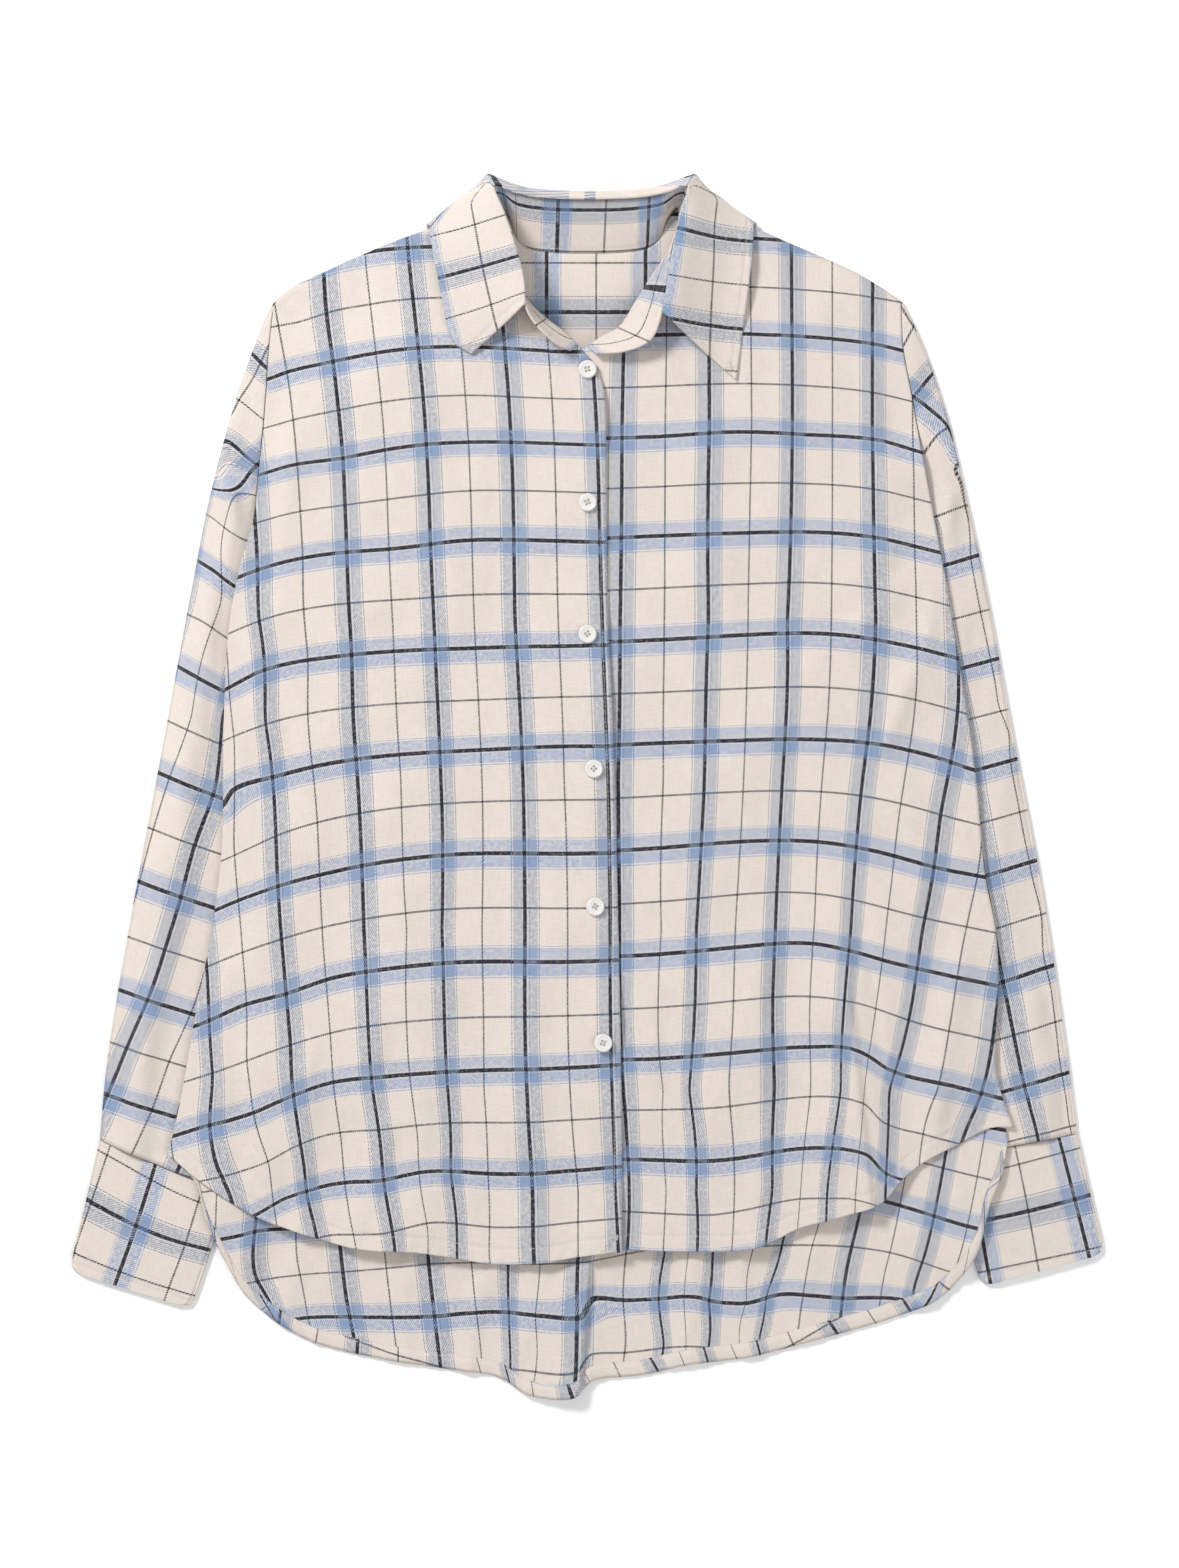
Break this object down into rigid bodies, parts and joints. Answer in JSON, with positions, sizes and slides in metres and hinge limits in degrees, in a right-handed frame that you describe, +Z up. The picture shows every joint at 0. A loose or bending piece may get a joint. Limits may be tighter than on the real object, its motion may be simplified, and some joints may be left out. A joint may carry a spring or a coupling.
{
  "type": "flannel shirt",
  "caption": "Loose long-sleeved checked flannel shirt with a turned-down collar, buttoned front and long curved back tail, laid flat on its back.",
  "frame": {"origin": "on the surface that the shirt lies on, under the middle of its outline", "axes": "+X to the viewer's right, which is the wearer's left, +Y towards the collar, +Z up off the surface, so the front faces +Z"},
  "size_m": [0.6604, 0.7832, 0.036],
  "materials": {
    "flannel": "brushed cotton twill, cream with a blue, grey and charcoal check, matt with a soft nap",
    "button": "pearly white resin, polished"
  },
  "bodies": {
    "root": {"front_right": "flannel", "front_left": "flannel", "back": "flannel", "yoke": "flannel", "sleeve_right": "flannel", "sleeve_left": "flannel", "cuff_right": "flannel", "cuff_left": "flannel", "collar_stand": "flannel", "collar": "flannel", "button_1": "button", "button_2": "button", "button_3": "button", "button_4": "button", "button_5": "button", "button_6": "button"}
  },
  "joints": []
}
